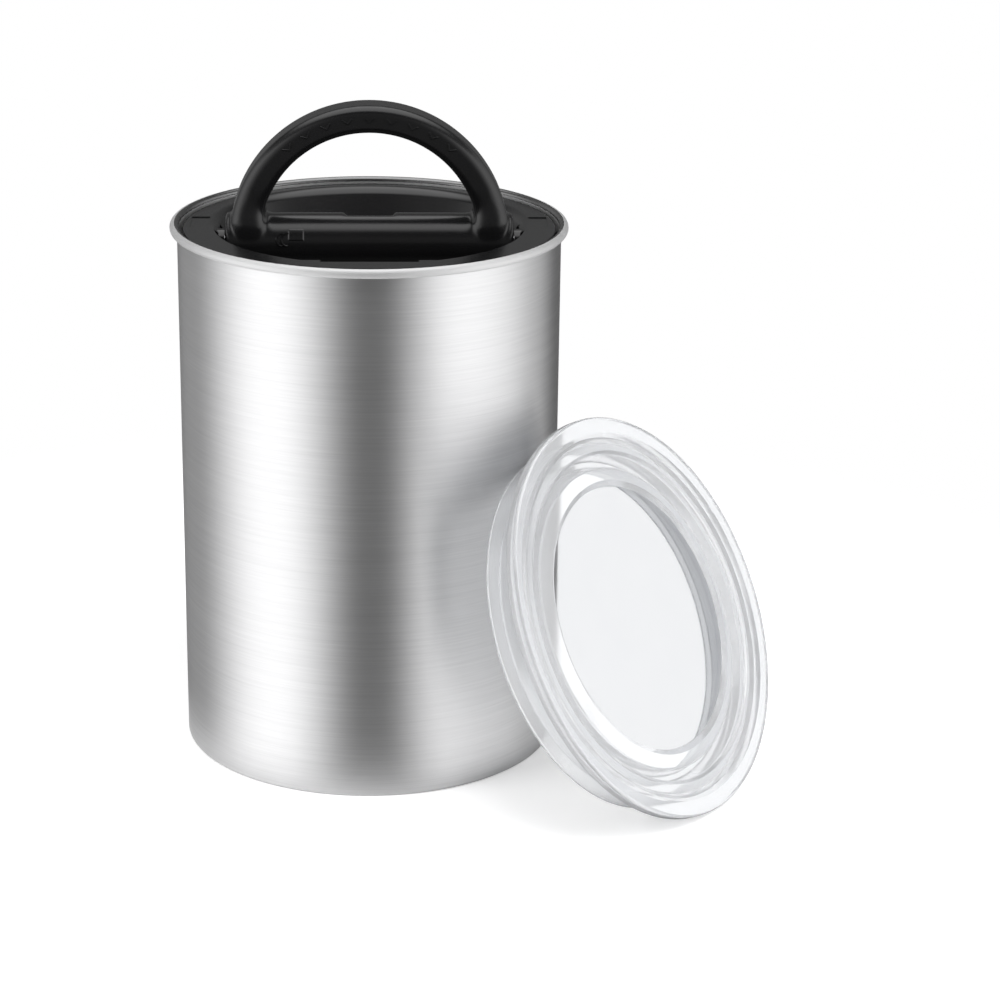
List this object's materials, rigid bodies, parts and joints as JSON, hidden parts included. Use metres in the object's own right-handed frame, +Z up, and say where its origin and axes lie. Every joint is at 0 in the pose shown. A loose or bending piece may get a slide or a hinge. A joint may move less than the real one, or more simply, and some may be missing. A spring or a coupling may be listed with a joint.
{
  "type": "coffee canister",
  "caption": "Round brushed-steel coffee canister with a sliding inner lid, folding bail handle that works an air valve, and a clear outer lid leaning beside it.",
  "frame": {"origin": "centre of the steel body's flat base, on the surface it stands on", "axes": "+Z up along the body's axis, +X along the handle's pivot, -Y the front, where the handle folds to"},
  "size_m": [0.2021, 0.1814, 0.2199],
  "materials": {
    "brushed_body": "satin, brushed round the body, with a smooth rolled rim",
    "black_moulding": "matte fine texture",
    "black_silicone": "soft matte",
    "bright_pin": "polished steel",
    "valve_plastic": "satin",
    "clear_plastic": "clear, polished"
  },
  "bodies": {
    "canister": {"canister_shell": "brushed_body"},
    "inner_lid": {"lid_housing": "black_moulding", "lid_base": "black_moulding", "lid_seal": "black_silicone", "pivot_pin_left": "bright_pin", "pivot_pin_right": "bright_pin", "valve_spring": "bright_pin"},
    "handle": {"handle": "black_moulding"},
    "valve": {"valve_stem": "valve_plastic", "valve_disc": "black_silicone", "valve_retainer": "valve_plastic"},
    "clear_lid": {"clear_lid": "clear_plastic"}
  },
  "joints": [
    {"name": "lid_plunge", "type": "slide", "parent": "canister", "child": "inner_lid", "axis": [0, 0, 1], "range_m": [-0.138, 0.06]},
    {"name": "handle_fold", "type": "hinge", "parent": "inner_lid", "child": "handle", "pos_m": [0, 0, 0.1729], "axis": [1, 0, 0], "range_deg": [0, 90]},
    {"name": "valve_travel", "type": "slide", "parent": "inner_lid", "child": "valve", "axis": [0, 0, 1], "range_m": [0, 0.0022], "deforming": ["valve_spring"]},
    {"name": "clear_lid_off", "type": "slide", "parent": "canister", "child": "clear_lid", "axis": [0.733, -0.5038, 0.4571], "range_m": [0, 0.12]}
  ],
  "couplings": [
    {"joint": "valve_travel", "follows": "handle_fold", "m_per_rad": 0.0014}
  ]
}
